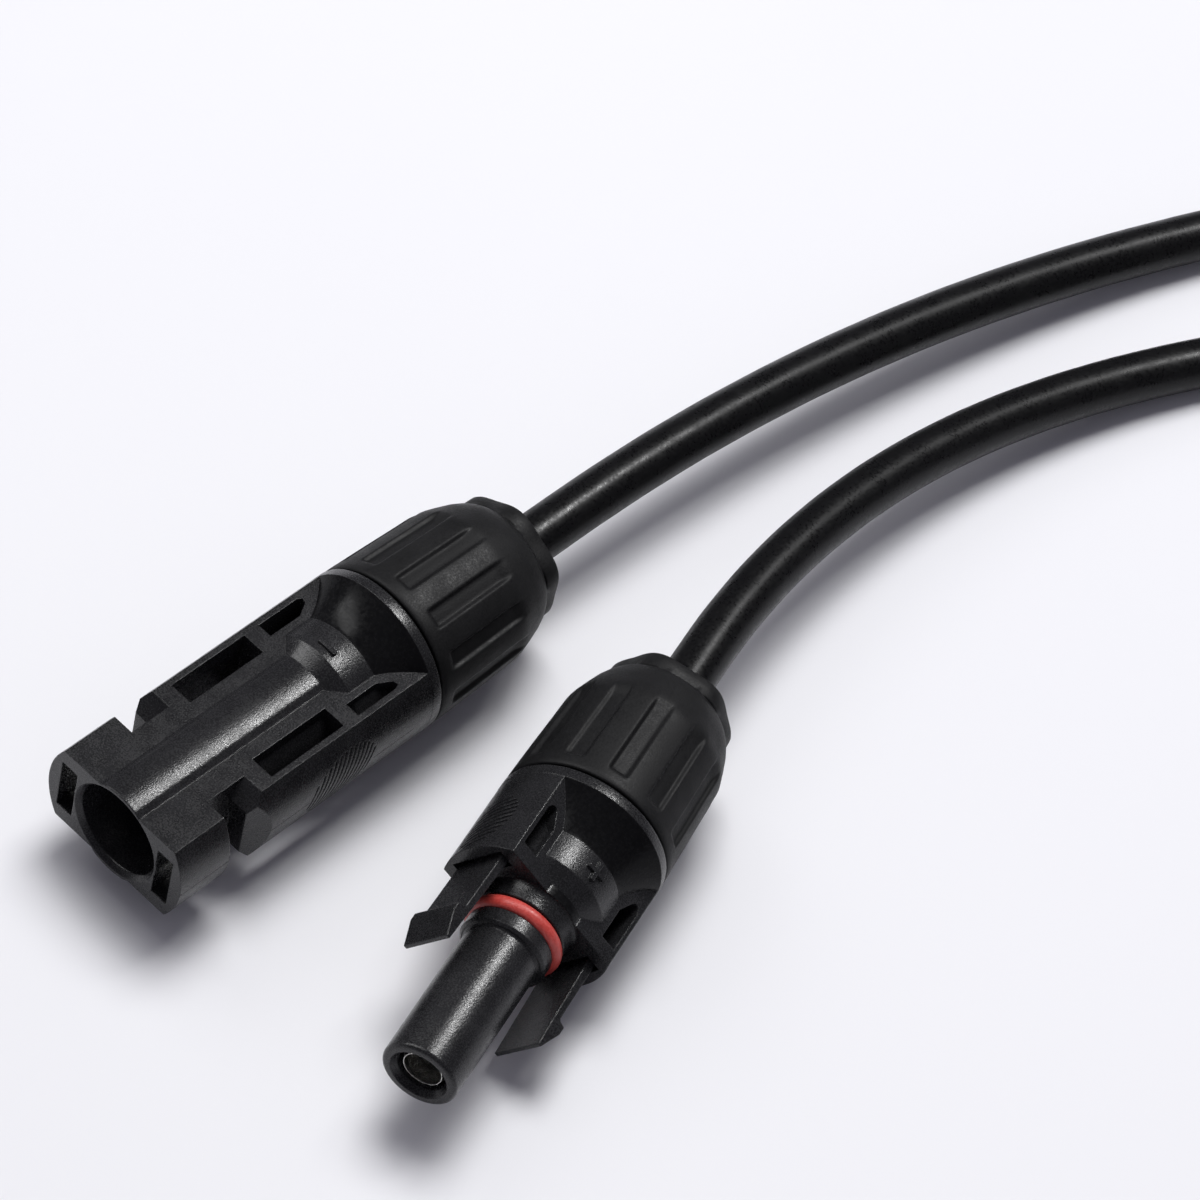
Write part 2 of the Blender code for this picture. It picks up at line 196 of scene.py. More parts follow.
socket_nut = joint("socket_nut_turn")
plug_nut = joint("plug_nut_turn")
arm_axis = joint("latch_left_flex")["axis"]
SOCKET = half_matrix(socket_nut["pos_m"], socket_nut["axis"], (0, 0, 1), SOCKET_NUT_S * MM)
PLUG = half_matrix(plug_nut["pos_m"], plug_nut["axis"], arm_axis, PLUG_NUT_S * MM)


# ---------------------------------------------------------------- mesh helpers

def solid(name, points, faces, place):
    """Closed mesh from points in millimetres, smooth but for its sharp edges, with its normals outwards."""
    mesh = bpy.data.meshes.new(name)
    mesh.from_pydata([Vector(p) * MM for p in points], [], faces)
    work = bmesh.new()
    work.from_mesh(mesh)
    bmesh.ops.recalc_face_normals(work, faces=work.faces)
    if work.calc_volume(signed=True) < 0:
        bmesh.ops.reverse_faces(work, faces=work.faces)
    work.to_mesh(mesh)
    work.free()
    item = bpy.data.objects.new(name, mesh)
    bpy.context.scene.collection.objects.link(item)
    item.matrix_world = place
    mesh.shade_smooth()
    mesh.set_sharp_from_angle(angle=math.radians(30))
    return item


def turned(name, profile, place, angles=96, radius=None):
    """Body turned about s, from a profile of (s, r). From r = 0 to r = 0 it is filled, else a closed ring.

    angles is a count or a list in radians, and radius(s, r, angle) changes r round the body.
    """
    if isinstance(angles, int):
        angles = [2 * math.pi * k / angles for k in range(angles)]
    count = len(angles)
    filled = profile[0][1] == 0
    inner = profile[1:-1] if filled else profile
    points = []
    for s, r in inner:
        for a in angles:
            q = radius(s, r, a) if radius else r
            points.append((q * math.sin(a), s, q * math.cos(a)))
    rows = len(inner)
    faces = []
    for i in range(rows - 1 if filled else rows):
        j = (i + 1) % rows
        for k in range(count):
            m = (k + 1) % count
            faces.append((i * count + k, i * count + m, j * count + m, j * count + k))
    if filled:
        faces.append(tuple(range(count))[::-1])
        faces.append(tuple((rows - 1) * count + k for k in range(count)))
    return solid(name, points, faces, place)


def prism(name, outline, low, high, along, place):
    """Outline in the two other directions, extruded from low to high along u, s or w."""
    spot = {
        "u": lambda p, t: (t, p[0], p[1]),
        "s": lambda p, t: (p[0], t, p[1]),
        "w": lambda p, t: (p[0], p[1], t),
    }[along]
    count = len(outline)
    points = [spot(p, low) for p in outline] + [spot(p, high) for p in outline]
    faces = [tuple(range(count))[::-1], tuple(range(count, 2 * count))]
    faces += [(k, (k + 1) % count, count + (k + 1) % count, count + k) for k in range(count)]
    return solid(name, points, faces, place)


def combine(target, tool, operation):
    """Boolean that is applied at once, after which its tool is removed."""
    step = target.modifiers.new("join", "BOOLEAN")
    step.operation = operation
    step.object = tool
    step.solver = "EXACT"
    with bpy.context.temp_override(object=target, active_object=target):
        bpy.ops.object.modifier_apply(modifier=step.name)
    bpy.data.objects.remove(tool, do_unlink=True)


def rectangle(a0, a1, b0, b1):
    return [(a0, b0), (a1, b0), (a1, b1), (a0, b1)]


def mirrored(outline, side):
    """The outline of (u, s) on the right for side 1, or on the left for side -1."""
    return [(side * u, s) for u, s in outline]


def arc(centre, r, start, stop, steps):
    """Points on an arc, angles in degrees."""
    span = [math.radians(start + (stop - start) * k / steps) for k in range(steps + 1)]
    return [(centre[0] + r * math.cos(a), centre[1] + r * math.sin(a)) for a in span]


# ---------------------------------------------------------------- materials

def new_material(name):
    """(material, its node tree, its shader)"""
    mat = bpy.data.materials.new(name)
    mat.use_nodes = True
    tree = mat.node_tree
    shader = tree.nodes["Principled BSDF"]
    return mat, tree, shader


def node(tree, kind, **values):
    """New node, with the values given to its inputs or else to its settings."""
    made = tree.nodes.new(kind)
    for key, value in values.items():
        if key in made.inputs:
            made.inputs[key].default_value = value
        else:
            setattr(made, key, value)
    return made


def noise(tree, scale, detail, rough=0.55, stretch=None):
    """Noise over the piece's own space, 0 to 1. stretch packs it closer along each axis."""
    where = node(tree, "ShaderNodeTexCoord")
    source = where.outputs["Object"]
    if stretch:
        mapping = node(tree, "ShaderNodeMapping")
        mapping.inputs["Scale"].default_value = stretch
        tree.links.new(source, mapping.inputs["Vector"])
        source = mapping.outputs["Vector"]
    made = node(tree, "ShaderNodeTexNoise", Scale=scale, Detail=detail, Roughness=rough)
    tree.links.new(source, made.inputs["Vector"])
    return made.outputs["Fac"]


def ramp(tree, source, low, high, from_value, to_value):
    """Value that goes from from_value to to_value as the source goes from low to high."""
    made = node(tree, "ShaderNodeMapRange")
    made.inputs["From Min"].default_value = low
    made.inputs["From Max"].default_value = high
    made.inputs["To Min"].default_value = from_value
    made.inputs["To Max"].default_value = to_value
    tree.links.new(source, made.inputs["Value"])
    return made.outputs["Result"]


def mix_colour(tree, factor, first, second):
    """Colour that is the first at factor 0 and the second at 1. A mix node's colours are 6, 7 and 2."""
    made = node(tree, "ShaderNodeMix", data_type="RGBA")
    made.inputs[6].default_value = (*first, 1.0)
    made.inputs[7].default_value = (*second, 1.0)
    tree.links.new(factor, made.inputs[0])
    return made.outputs[2]


def moulded(name, dark, light, rough, grain, depth, edge, specular=0.5):
    """Moulded plastic or rubber: a fine grain of that width and depth, cloudy colour and rounded edges."""
    mat, tree, shader = new_material(name)
    fine = noise(tree, 1.0 / grain, 2.0, 0.6)
    tone = node(tree, "ShaderNodeMath", operation="ADD", use_clamp=True)
    tree.links.new(ramp(tree, noise(tree, 260.0, 4.0), 0.35, 0.7, 0.0, 0.4), tone.inputs[0])
    tree.links.new(ramp(tree, fine, 0.35, 0.7, 0.0, 0.7), tone.inputs[1])
    tree.links.new(mix_colour(tree, tone.outputs[0], dark, light), shader.inputs["Base Color"])
    gloss = node(tree, "ShaderNodeMath", operation="ADD")
    tree.links.new(ramp(tree, fine, 0.3, 0.7, -0.09, 0.09), gloss.inputs[0])
    cloud = noise(tree, 420.0, 3.0)
    tree.links.new(ramp(tree, cloud, 0.3, 0.7, rough - 0.05, rough + 0.06), gloss.inputs[1])
    tree.links.new(gloss.outputs[0], shader.inputs["Roughness"])
    soft = node(tree, "ShaderNodeBevel", samples=4)
    soft.inputs["Radius"].default_value = edge
    bump = node(tree, "ShaderNodeBump")
    bump.inputs["Strength"].default_value = 1.0
    bump.inputs["Distance"].default_value = depth
    tree.links.new(fine, bump.inputs["Height"])
    tree.links.new(soft.outputs["Normal"], bump.inputs["Normal"])
    tree.links.new(bump.outputs["Normal"], shader.inputs["Normal"])
    shader.inputs["Specular IOR Level"].default_value = specular
    return mat


def metal(name, colour, tarnish, rough, brush):
    """Plated metal with a little tarnish and fine turning lines, packed along each axis as brush says."""
    mat, tree, shader = new_material(name)
    shader.inputs["Metallic"].default_value = 1.0
    stain = ramp(tree, noise(tree, 700.0, 4.0), 0.4, 0.75, 0.0, 1.0)
    tree.links.new(mix_colour(tree, stain, colour, tarnish), shader.inputs["Base Color"])
    lines = noise(tree, 1.0, 2.0, 0.5, brush)
    tree.links.new(ramp(tree, lines, 0.3, 0.7, rough - 0.06, rough + 0.1), shader.inputs["Roughness"])
    bump = node(tree, "ShaderNodeBump")
    bump.inputs["Strength"].default_value = 0.6
    bump.inputs["Distance"].default_value = 0.000008
    tree.links.new(lines, bump.inputs["Height"])
    tree.links.new(bump.outputs["Normal"], shader.inputs["Normal"])
    return mat


HOUSING = moulded(
    "housing_plastic", (0.008, 0.008, 0.0087), (0.025, 0.025, 0.0267),
    rough=0.26, grain=0.00017, depth=0.00003, edge=0.00018, specular=0.3,
)
# Darker copy of the housing plastic with weak highlights, not a real finish: painted shade on the scoops
# and on the strip behind the plug's shoulder.
SHADE_PAINTED_PLASTIC = moulded(
    "shade_painted_plastic", (0.005, 0.005, 0.0055), (0.008, 0.008, 0.0087),
    rough=0.24, grain=0.0004, depth=0.000004, edge=0.00015, specular=0.08,
)
NUT = moulded(
    "nut_plastic", (0.005, 0.005, 0.0054), (0.012, 0.012, 0.0127),
    rough=0.52, grain=0.0002, depth=0.00002, edge=0.00018, specular=0.17,
)
JACKET = moulded(
    "jacket", (0.003, 0.003, 0.0033), (0.006, 0.006, 0.0064),
    rough=0.34, grain=0.00035, depth=0.000008, edge=0.0003, specular=0.18,
)
INSULATION = moulded(
    "insulation", (0.55, 0.53, 0.48), (0.66, 0.64, 0.60),
    rough=0.48, grain=0.0003, depth=0.000006, edge=0.0001,
)
SILICONE = moulded(
    "silicone", (0.50, 0.045, 0.035), (0.64, 0.095, 0.080),
    rough=0.40, grain=0.00025, depth=0.000025, edge=0.0002,
)
GLAND = moulded(
    "gland", (0.085, 0.085, 0.09), (0.11, 0.11, 0.115),
    rough=0.68, grain=0.0002, depth=0.00001, edge=0.0001,
)
CAGE = moulded(
    "cage", (0.035, 0.035, 0.037), (0.05, 0.05, 0.052),
    rough=0.50, grain=0.00015, depth=0.000008, edge=0.0001,
)
TINNED = metal(
    "tinned", (0.74, 0.73, 0.70), (0.60, 0.58, 0.54),
    rough=0.24, brush=(3000.0, 60000.0, 3000.0),
)
SPRING = metal(
    "spring", (0.58, 0.58, 0.59), (0.45, 0.44, 0.42),
    rough=0.30, brush=(20000.0, 4000.0, 4000.0),
)


def dress(item, mat, body, cad_node):
    """Gives the piece its look and body, and lets it stand for the named CAD node."""
    item.data.materials.clear()
    item.data.materials.append(mat)
    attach(item, body)
    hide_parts(cad_node)


# ---------------------------------------------------------------- housings

def wing_section():
    """Section of both wings: a round of radius WING_R cut off at the flats."""
    edge = math.degrees(math.asin(FLAT_W / WING_R))
    right = arc((0.0, 0.0), WING_R, -edge, edge, 24)
    return right + [(-u, -w) for u, w in right]


def core_angles():
    """Angles round a housing core, closer together where both ridges run down to the flats."""
    steps = [360 * k / 96 for k in range(96)]
    edges = [RIDGE_EDGE + fan for fan in (0.0, 1.5, 3.3, 5.2, 7.0, 7.6, 8.4)]
    steps += [top + side * a for top in (0.0, 180.0) for side in (-1, 1) for a in edges]
    return [math.radians(a) for a in sorted({round(a % 360, 3) for a in steps})]


def ridge_radius(from_top):
    """Radius of the ridge: full on top, then a straight slope to its foot, then just under the flat."""
    a = math.radians(from_top)
    edge = math.radians(RIDGE_EDGE)
    top_u, top_w = TUBE_R * math.sin(edge), TUBE_R * math.cos(edge)
    if a <= edge:
        return TUBE_R
    if math.tan(a) < RIDGE_FOOT_U / FLAT_W:
        run, fall = RIDGE_FOOT_U - top_u, top_w - FLAT_W
        return (top_u * fall + top_w * run) / (math.sin(a) * fall + math.cos(a) * run)
    return min(TUBE_R - 0.2, (FLAT_W - 0.04) / math.cos(a))


def core_radius(start, ridge):
    """Radius of a housing core: a ridge that stands proud of each flat, and the thread on the spigot."""
    end = start + SPIGOT_LENGTH - 1.0

    def radius(s, r, a):
        if ridge and abs(r - TUBE_R) < 0.1 and s < start - BEVEL_FRONT + 0.1:
            return r - TUBE_R + ridge_radius(abs((math.degrees(a) + 90) % 180 - 90))
        if r < SPIGOT_R - 0.01 or not start < s < end:
            return r
        turn = (s / THREAD_PITCH + a / (2 * math.pi)) % 1.0
        ridge_height = min(1.0, max(0.0, 1.6 * (1 - abs(2 * turn - 1)) - 0.3))
        fade = min(1.0, (s - start) / 0.9, (end - s) / 0.9)
        return r + THREAD_DEPTH * ridge_height * max(0.0, fade)

    return radius


def thread_rings(start, chamber_front):
    """Rings of the spigot, close enough to follow its thread, then down its end and into the chamber."""
    rings = 42
    length = SPIGOT_LENGTH - 1.6
    points = [(start + 0.8 + length * k / rings, SPIGOT_R) for k in range(rings + 1)]
    points = [(start, SPIGOT_R)] + points
    points += [(start + SPIGOT_LENGTH, SPIGOT_R - 0.3), (start + SPIGOT_LENGTH, CHAMBER_R)]
    return points + [(chamber_front, CHAMBER_R)]


def rear_shoulder(seam, tube_r):
    """Raised half-ring with its bevelled front, the scoop that widens behind it, and the rim."""
    scoop = seam - RIM_LENGTH - SCOOP_LENGTH
    rise = BODY_R - RING_R
    curve = []
    for k in range(1, 13):
        t = k / 12
        curve.append((scoop + SCOOP_LENGTH * t, RING_R + rise * (0.5 * t + 0.5 * t * t)))
    return (
        [(seam - BEVEL_FRONT, tube_r), (seam - 9.4, RING_R - 0.06), (seam - 9.3, RING_R), (scoop, RING_R)]
        + curve
        + [(seam - 0.3, BODY_R), (seam - 0.1, BODY_R - 0.06), (seam, BODY_R - 0.2)]
    )


def mark(core, seam, plus, place):
    """Raised plus or minus sign on the half-ring."""
    s = seam - (7.4 if plus else 8.2)
    bars = [rectangle(-SIGN_HALF, SIGN_HALF, s - SIGN_LINE, s + SIGN_LINE)]
    if plus:
        bars.append(rectangle(-SIGN_LINE, SIGN_LINE, s - SIGN_HALF, s + SIGN_HALF))
    for outline in bars:
        combine(core, prism("bar", outline, RING_R - 0.6, RING_R + SIGN_RISE, "w", place), "UNION")


def joined(name, loops, place):
    """One mesh of closed prisms, each given as rings of points that follow one another."""
    points = []
    faces = []
    for rings in loops:
        base = len(points)
        count = len(rings[0])
        for ring in rings:
            points += ring
        for i in range(len(rings) - 1):
            low = base + i * count
            for k in range(count):
                m = (k + 1) % count
                faces.append((low + k, low + m, low + count + m, low + count + k))
        faces.append(tuple(base + k for k in range(count)))
        faces.append(tuple(base + (len(rings) - 1) * count + k for k in range(count)))
    return solid(name, points, faces, place)


def side_groove(side, middle, half_angle):
    """Rings of a slanting V-shaped cutter that follows the round side of a wing."""
    low, high = BODY_R - RIB_DEPTH, BODY_R + 0.6
    narrow, wide = 0.25 * RIB_WIDTH, 0.9 * RIB_WIDTH
    rings = []
    for k in range(9):
        a = math.radians(half_angle * (k / 4 - 1))
        s = middle + RIB_SLANT * BODY_R * math.sin(a)
        corners = ((low, s - narrow), (high, s - wide), (high, s + wide), (low, s + narrow))
        rings.append([(side * r * math.cos(a), at, r * math.sin(a)) for r, at in corners])
    return rings


def grip_ribs(core, oval, parting, place):
    """Oval patch of slanting grooves on both wing sides, and the mould's parting line along its spans."""
    middle, half_length, half_height = oval
    cutters = []
    for side in (1, -1):
        count = int(2 * half_length / RIB_PITCH)
        for k in range(count + 1):
            off = (k - count / 2) * RIB_PITCH
            tall = half_height * math.sqrt(max(0.0, 1 - (off / (half_length + 0.4)) ** 2))
            angle = math.degrees(math.asin(tall / BODY_R))
            cutters.append(side_groove(side, middle + off, angle))
        u0, u1 = side * (BODY_R - 0.1), side * (BODY_R + 0.5)
        line = ((u0, -0.02), (u1, -0.12), (u1, 0.12), (u0, 0.02))
        ring = [(u, PARTING_W + w) for u, w in line]
        for span in parting:
            cutters.append([[(u, s, w) for u, w in ring] for s in span])
    combine(core, joined("grooves", cutters, place), "DIFFERENCE")


def scoop_span(seam):
    """Stations between which the scoop lies."""
    return seam - RIM_LENGTH - SCOOP_LENGTH, seam - RIM_LENGTH - 0.05


def paint_shade(core, *spans):
    """Paints shade on the core between the given stations, off the flats, with a darker, duller copy of its
    plastic.
    """
    core.data.materials.append(SHADE_PAINTED_PLASTIC)
    for face in core.data.polygons:
        _, s, w = face.center / MM
        if any(front < s < rear for front, rear in spans) and abs(w) > FLAT_W + 0.01:
            face.material_index = 1


def clear_core(wings, front, place):
    """Hollows the wings from that station on, where the core will be."""
    profile = [(front, 0), (front, WING_HOLLOW_R), (CLEAR_S, WING_HOLLOW_R), (CLEAR_S, 0)]
    combine(wings, turned("hollow", profile, place), "DIFFERENCE")


def finish_core(core, body, cad_node, *shaded_spans):
    """Edges and materials of a housing that has all its shapes, with painted shade on the spans given."""
    core.data.shade_smooth()
    core.data.set_sharp_from_angle(angle=math.radians(25))
    dress(core, HOUSING, body, cad_node)
    paint_shade(core, *shaded_spans)


def socket_housing():
    """Bored tube with a ridge on top and below, two slotted and windowed wings, and the threaded spigot."""
    core = turned(
        "socket_housing_shell",
        [(0.06, BORE_R + 0.42), (0.0, BORE_R + 0.5), (0.0, TUBE_R - 0.08), (0.08, TUBE_R)]
        + rear_shoulder(SOCKET_SEAM, TUBE_R)
        + thread_rings(SOCKET_SEAM, BORE_DEPTH + 4.5)
        + [(BORE_DEPTH + 4.5, 3.0), (BORE_DEPTH, 3.0), (BORE_DEPTH, BORE_R), (0.6, BORE_R)],
        SOCKET,
        core_angles(),
        core_radius(SOCKET_SEAM, True),
    )
    wings = prism("wings", wing_section(), 0.0, SOCKET_SEAM - RIM_LENGTH + 0.02, "s", SOCKET)
    clear_core(wings, -1.0, SOCKET)
    front, middle, rear = NOTCH
    reach = FLAT_W + 1.0
    lean = (rear - middle) / (FLAT_W - NOTCH_HALF)
    profile = [(front, -reach), (rear + lean, -reach), (middle, -NOTCH_HALF)]
    profile += [(middle, NOTCH_HALF), (rear + lean, reach), (front, reach)]
    for side in (1, -1):
        slot = rectangle(side * SLOT_U[0], side * SLOT_U[1], -SLOT_W, SLOT_W)
        tools = [
            prism("slot", slot, -1.0, front + 1.0, "s", SOCKET),
            prism("notch", profile, side * NOTCH_U, side * CLEAR_U, "u", SOCKET),
            prism("corner", mirrored(CORNER, side), -CLEAR_W, CLEAR_W, "w", SOCKET),
        ]
        for window in (LARGE_WINDOW, SMALL_WINDOW):
            tools.append(prism("window", mirrored(window, side), -CLEAR_W, CLEAR_W, "w", SOCKET))
        for tool in tools:
            combine(wings, tool, "DIFFERENCE")
    combine(core, wings, "UNION")
    mark(core, SOCKET_SEAM, False, SOCKET)
    grip_ribs(core, SOCKET_OVAL, SOCKET_PARTING, SOCKET)
    # The scoop behind the half-ring gets painted shade.
    finish_core(core, "socket_lead", "socket_housing", scoop_span(SOCKET_SEAM))


def plug_housing():
    """Nose with its collar and ring groove, two wings with pockets for the latch arms, and the spigot."""
    nose_front = arc((0.45, NOSE_R - 0.45), 0.45, 180, 90, 5)
    core = turned(
        "plug_housing_shell",
        nose_front
        + [(COLLAR_FRONT - 0.25, NOSE_R), (COLLAR_FRONT, NOSE_R + 0.2), (COLLAR_FRONT, COLLAR_R - 0.3)]
        + [(COLLAR_FRONT + 0.3, COLLAR_R), (GROOVE[0], COLLAR_R), (GROOVE[0], GROOVE_R)]
        + [(GROOVE[1], GROOVE_R), (GROOVE[1], 5.0), (GROOVE[1] + 0.12, 5.1), (SHOULDER - 0.5, 5.25)]
        + [(SHOULDER - 0.15, 5.4), (SHOULDER, 5.5), (SHOULDER, PLUG_TUBE_R)]
        + rear_shoulder(PLUG_SEAM, PLUG_TUBE_R)
        + thread_rings(PLUG_SEAM, 24.0)
        + [(24.0, 2.9), (22.0, 2.9), (22.0, 3.45), (18.5, 3.2), (18.5, NOSE_BORE_R), (0.7, NOSE_BORE_R)]
        + [(0.15, 3.05), (0.0, 3.15)],
        PLUG,
        core_angles(),
        core_radius(PLUG_SEAM, False),
    )
    wings = prism("wings", wing_section(), SHOULDER, PLUG_SEAM - RIM_LENGTH + 0.02, "s", PLUG)
    clear_core(wings, 20.0, PLUG)
    for side in (1, -1):
        pocket = rectangle(side * POCKET_U[0], side * POCKET_U[1], -ARM_HALF - 0.3, ARM_HALF + 0.3)
        pocket_end = PLUG_WINDOW[0][1] - 0.3
        combine(wings, prism("pocket", pocket, SHOULDER - 1.0, pocket_end, "s", PLUG), "DIFFERENCE")
        window = mirrored(PLUG_WINDOW, side)
        combine(wings, prism("window", window, -CLEAR_W, CLEAR_W, "w", PLUG), "DIFFERENCE")
    combine(core, wings, "UNION")
    mark(core, PLUG_SEAM, True, PLUG)
    grip_ribs(core, PLUG_OVAL, (), PLUG)
    # Painted shade on the scoop and on the tube top between the shoulder and the half-ring's bevel.
    shoulder_span = (SHOULDER + 0.02, PLUG_SEAM - BEVEL_FRONT)
    finish_core(core, "plug_lead", "plug_housing", scoop_span(PLUG_SEAM), shoulder_span)


def latch_arm(side):
    """Sprung arm with a chisel tip, an outward barb and a small round at its root."""
    name = "right" if side > 0 else "left"
    stem = ARM_U + 0.5
    outline = [
        (ARM_U - 0.45, ARM_S + 0.5),
        (ARM_U + 0.45, ARM_S + 0.5),
        (stem, ARM_S),
        (stem + 0.12, BARB + 0.35),
        (stem + 0.32, BARB + 0.12),
        (BARB_U - 0.1, BARB),
        (BARB_U, BARB - 0.12),
        (BARB_U, BARB - 1.0),
        (7.65, ARM_TIP),
        (7.2, ARM_TIP),
        (ARM_U - 0.5, ARM_S),
    ]
    skin = "latch_arm_%s_skin" % name
    item = prism(skin, mirrored(outline, side), -ARM_HALF, ARM_HALF, "w", PLUG)
    edge = item.modifiers.new("round", "BEVEL")
    edge.width = 0.00018
    edge.segments = 2
    edge.limit_method = "ANGLE"
    edge.angle_limit = math.radians(30)
    edge.harden_normals = True
    dress(item, HOUSING, "latch_arm_" + name, "latch_arm_" + name)


# ---------------------------------------------------------------- nut, ring, contacts

def nut_angles():
    """Angles round the nut, close together at the walls of each flute."""
    offsets = [-FLUTE_STEP / 2, -11.0, -8.4, -7.5, -6.9, -6.3, -5.7, -5.1, -4.5, -2.5, 0.0]
    offsets = offsets + [-v for v in offsets[1:-1]][::-1]
    return [math.radians(k * FLUTE_STEP + v) for k in range(FLUTES) for v in offsets]


def smooth_step(x):
    """Rises smoothly from 0 to 1 as x does."""
    x = min(1.0, max(0.0, x))
    return x * x * (3 - 2 * x)


def dome(t):
    """Outer radius of the nut, t from its front: a slight taper, an edge, then the dome."""
    knots = [(0.0, 9.22), (0.12, 9.36), (0.4, NUT_R), (1.7, 9.43), (5.0, 9.35), (9.0, 9.2)]
    knots += [(11.9, 9.12), (12.35, 9.07), (12.8, 8.98), (14.2, 8.57), (15.7, 8.08), (16.8, 7.58)]
    knots += [(17.3, 7.24), (17.6, 6.98)]
    for (t0, r0), (t1, r1) in zip(knots, knots[1:]):
        if t <= t1:
            return r0 + (r1 - r0) * (t - t0) / (t1 - t0)
    return knots[-1][1]


def cap_nut(name, seam, place):
    """Cap nut with long sunk flutes between raised ribs, a dome and a softly six-sided collar."""
    start = seam + SEAM_GAP
    outer = [0.0, 0.12, 0.25, 0.4, 0.9, 1.3, 1.55, 1.7, 1.85, 2.05, 2.4, 4.0, 6.0, 8.0, 9.0, 10.0]
    outer += [10.8, 11.3, 11.7, 12.0, 12.35, 12.6, 12.8, 13.4, 14.2, 15.0, 15.7, 16.3, 16.8, 17.3, 17.6]
    profile = [(start + t, dome(t)) for t in outer]
    collar = [(17.72, 6.88), (18.4, 6.9), (19.25, 6.86), (19.55, 6.72), (19.7, 6.45)]
    inside = [(19.7, HOLE_R + 0.25), (19.5, HOLE_R), (17.4, HOLE_R), (14.8, 5.25), (12.2, 5.25)]
    inside += [(9.6, NUT_BORE_R), (0.3, NUT_BORE_R), (0.0, NUT_BORE_R + 0.3)]
    profile += [(start + t, r) for t, r in collar + inside]

    # Only the outside changes round the nut: the body has flutes, and the collar has six soft sides.
    def radius(s, r, a):
        t = s - start
        if r < 6.0 or (r < 8.6 and t < 12.3):
            return r
        if t > 17.65:
            return r + COLLAR_RIPPLE * math.cos(6 * a)
        off_middle = abs((math.degrees(a) + FLUTE_STEP / 2) % FLUTE_STEP - FLUTE_STEP / 2)
        wall = 1 - smooth_step((off_middle - 4.6) / 2.9)
        front = smooth_step((t - 1.45) / 0.7)
        rear = 1 - smooth_step((t - 11.0) / 2.2)
        return r - FLUTE_DEPTH * wall * front * rear

    item = turned(name + "_shell", profile, place, nut_angles(), radius)
    dress(item, NUT, name, name)


def nose_o_ring():
    """Round sealing ring in the groove of the nose."""
    middle, across = sum(GROOVE) / 2, GROOVE_R + 0.04 + O_RING_R
    ring = [(middle + O_RING_R * math.cos(a), across + O_RING_R * math.sin(a))
            for a in [math.radians(12 * k) for k in range(30)]]
    item = turned("nose_o_ring_skin", ring, PLUG, 120)
    dress(item, SILICONE, "plug_lead", "nose_o_ring")


def contacts():
    """Pin of the socket half and sleeve of the plug half."""
    pin = [(4.0, 0.0), (4.0, 0.55), (4.15, 0.95), (4.5, 1.45), (5.1, 1.82), (5.9, PIN_R)]
    pin += [(20.6, PIN_R), (20.6, 2.75), (20.7, 2.8), (22.2, 2.8), (22.2, CRIMP_R), (27.9, CRIMP_R)]
    pin += [(27.9, CRIMP_BORE_R), (23.4, CRIMP_BORE_R), (23.4, 0.0)]
    item = turned("pin_contact_skin", pin, SOCKET, 48)
    dress(item, TINNED, "socket_lead", "pin_contact")
    barrel = [(16.0, 0.0), (16.0, BARREL_BORE_R), (1.35, BARREL_BORE_R), (0.98, 2.03), (0.9, 2.06)]
    barrel += [(0.9, 2.12), (2.0, BARREL_R), (19.0, BARREL_R), (19.0, 3.1), (21.6, 3.1)]
    barrel += [(21.6, CRIMP_R), (26.4, CRIMP_R), (26.4, CRIMP_BORE_R), (21.0, CRIMP_BORE_R), (21.0, 0.0)]
    item = turned("barrel_contact_skin", barrel, PLUG, 72)
    dress(item, TINNED, "plug_lead", "barrel_contact")


# ---------------------------------------------------------------- cable

def cable_path(place, lead, straight, knee, tail, end):
    """Centre line in the row frame, in millimetres: straight in its half, then one curve to its end."""
    steps = 90

    def on_axis(s):
        return (place @ Vector((0.0, s * MM, 0.0))) / MM

    points = [on_axis(lead + (straight - lead) * k / 12) for k in range(12)]
    p0, p1 = on_axis(straight), on_axis(knee)
    for k in range(steps + 1):
        t = k / steps
        c = ((1 - t) ** 3, 3 * t * (1 - t) ** 2, 3 * t * t * (1 - t), t ** 3)
        points.append(p0 * c[0] + p1 * c[1] + tail * c[2] + end * c[3])
    return points


def swept(name, path, outer, inner, count, trim_start, trim_end, wobble=0.0):
    """Pipe along the path, shortened by the trims. wobble is the unevenness of its outside."""
    way = list(path)
    way[0] = way[0] + (way[1] - way[0]).normalized() * trim_start
    way[-1] = way[-1] + (way[-2] - way[-1]).normalized() * trim_end
    points = []
    for shell, r in enumerate((outer, inner)):
        for i, point in enumerate(way):
            along = (path[min(i + 1, len(path) - 1)] - path[max(i - 1, 0)]).normalized()
            side = along.cross(Vector((0, 0, 1))).normalized()
            up = side.cross(along)
            for k in range(count):
                a = 2 * math.pi * k / count
                q = r
                if shell == 0:
                    q += wobble * (math.sin(0.9 * i + 2 * a) + 0.6 * math.sin(0.37 * i - 3 * a))
                points.append(point + side * (q * math.cos(a)) + up * (q * math.sin(a)))
    n = len(way)
    faces = []
    for shell in range(2):
        for i in range(n - 1):
            low = (shell * n + i) * count
            for k in range(count):
                m = (k + 1) % count
                faces.append((low + k, low + m, low + count + m, low + count + k))
    for row in (0, n - 1):
        low = row * count
        far = low + n * count
        faces += [(low + k, low + (k + 1) % count, far + (k + 1) % count, far + k) for k in range(count)]
    return solid(name, points, faces, Matrix.Identity(4))


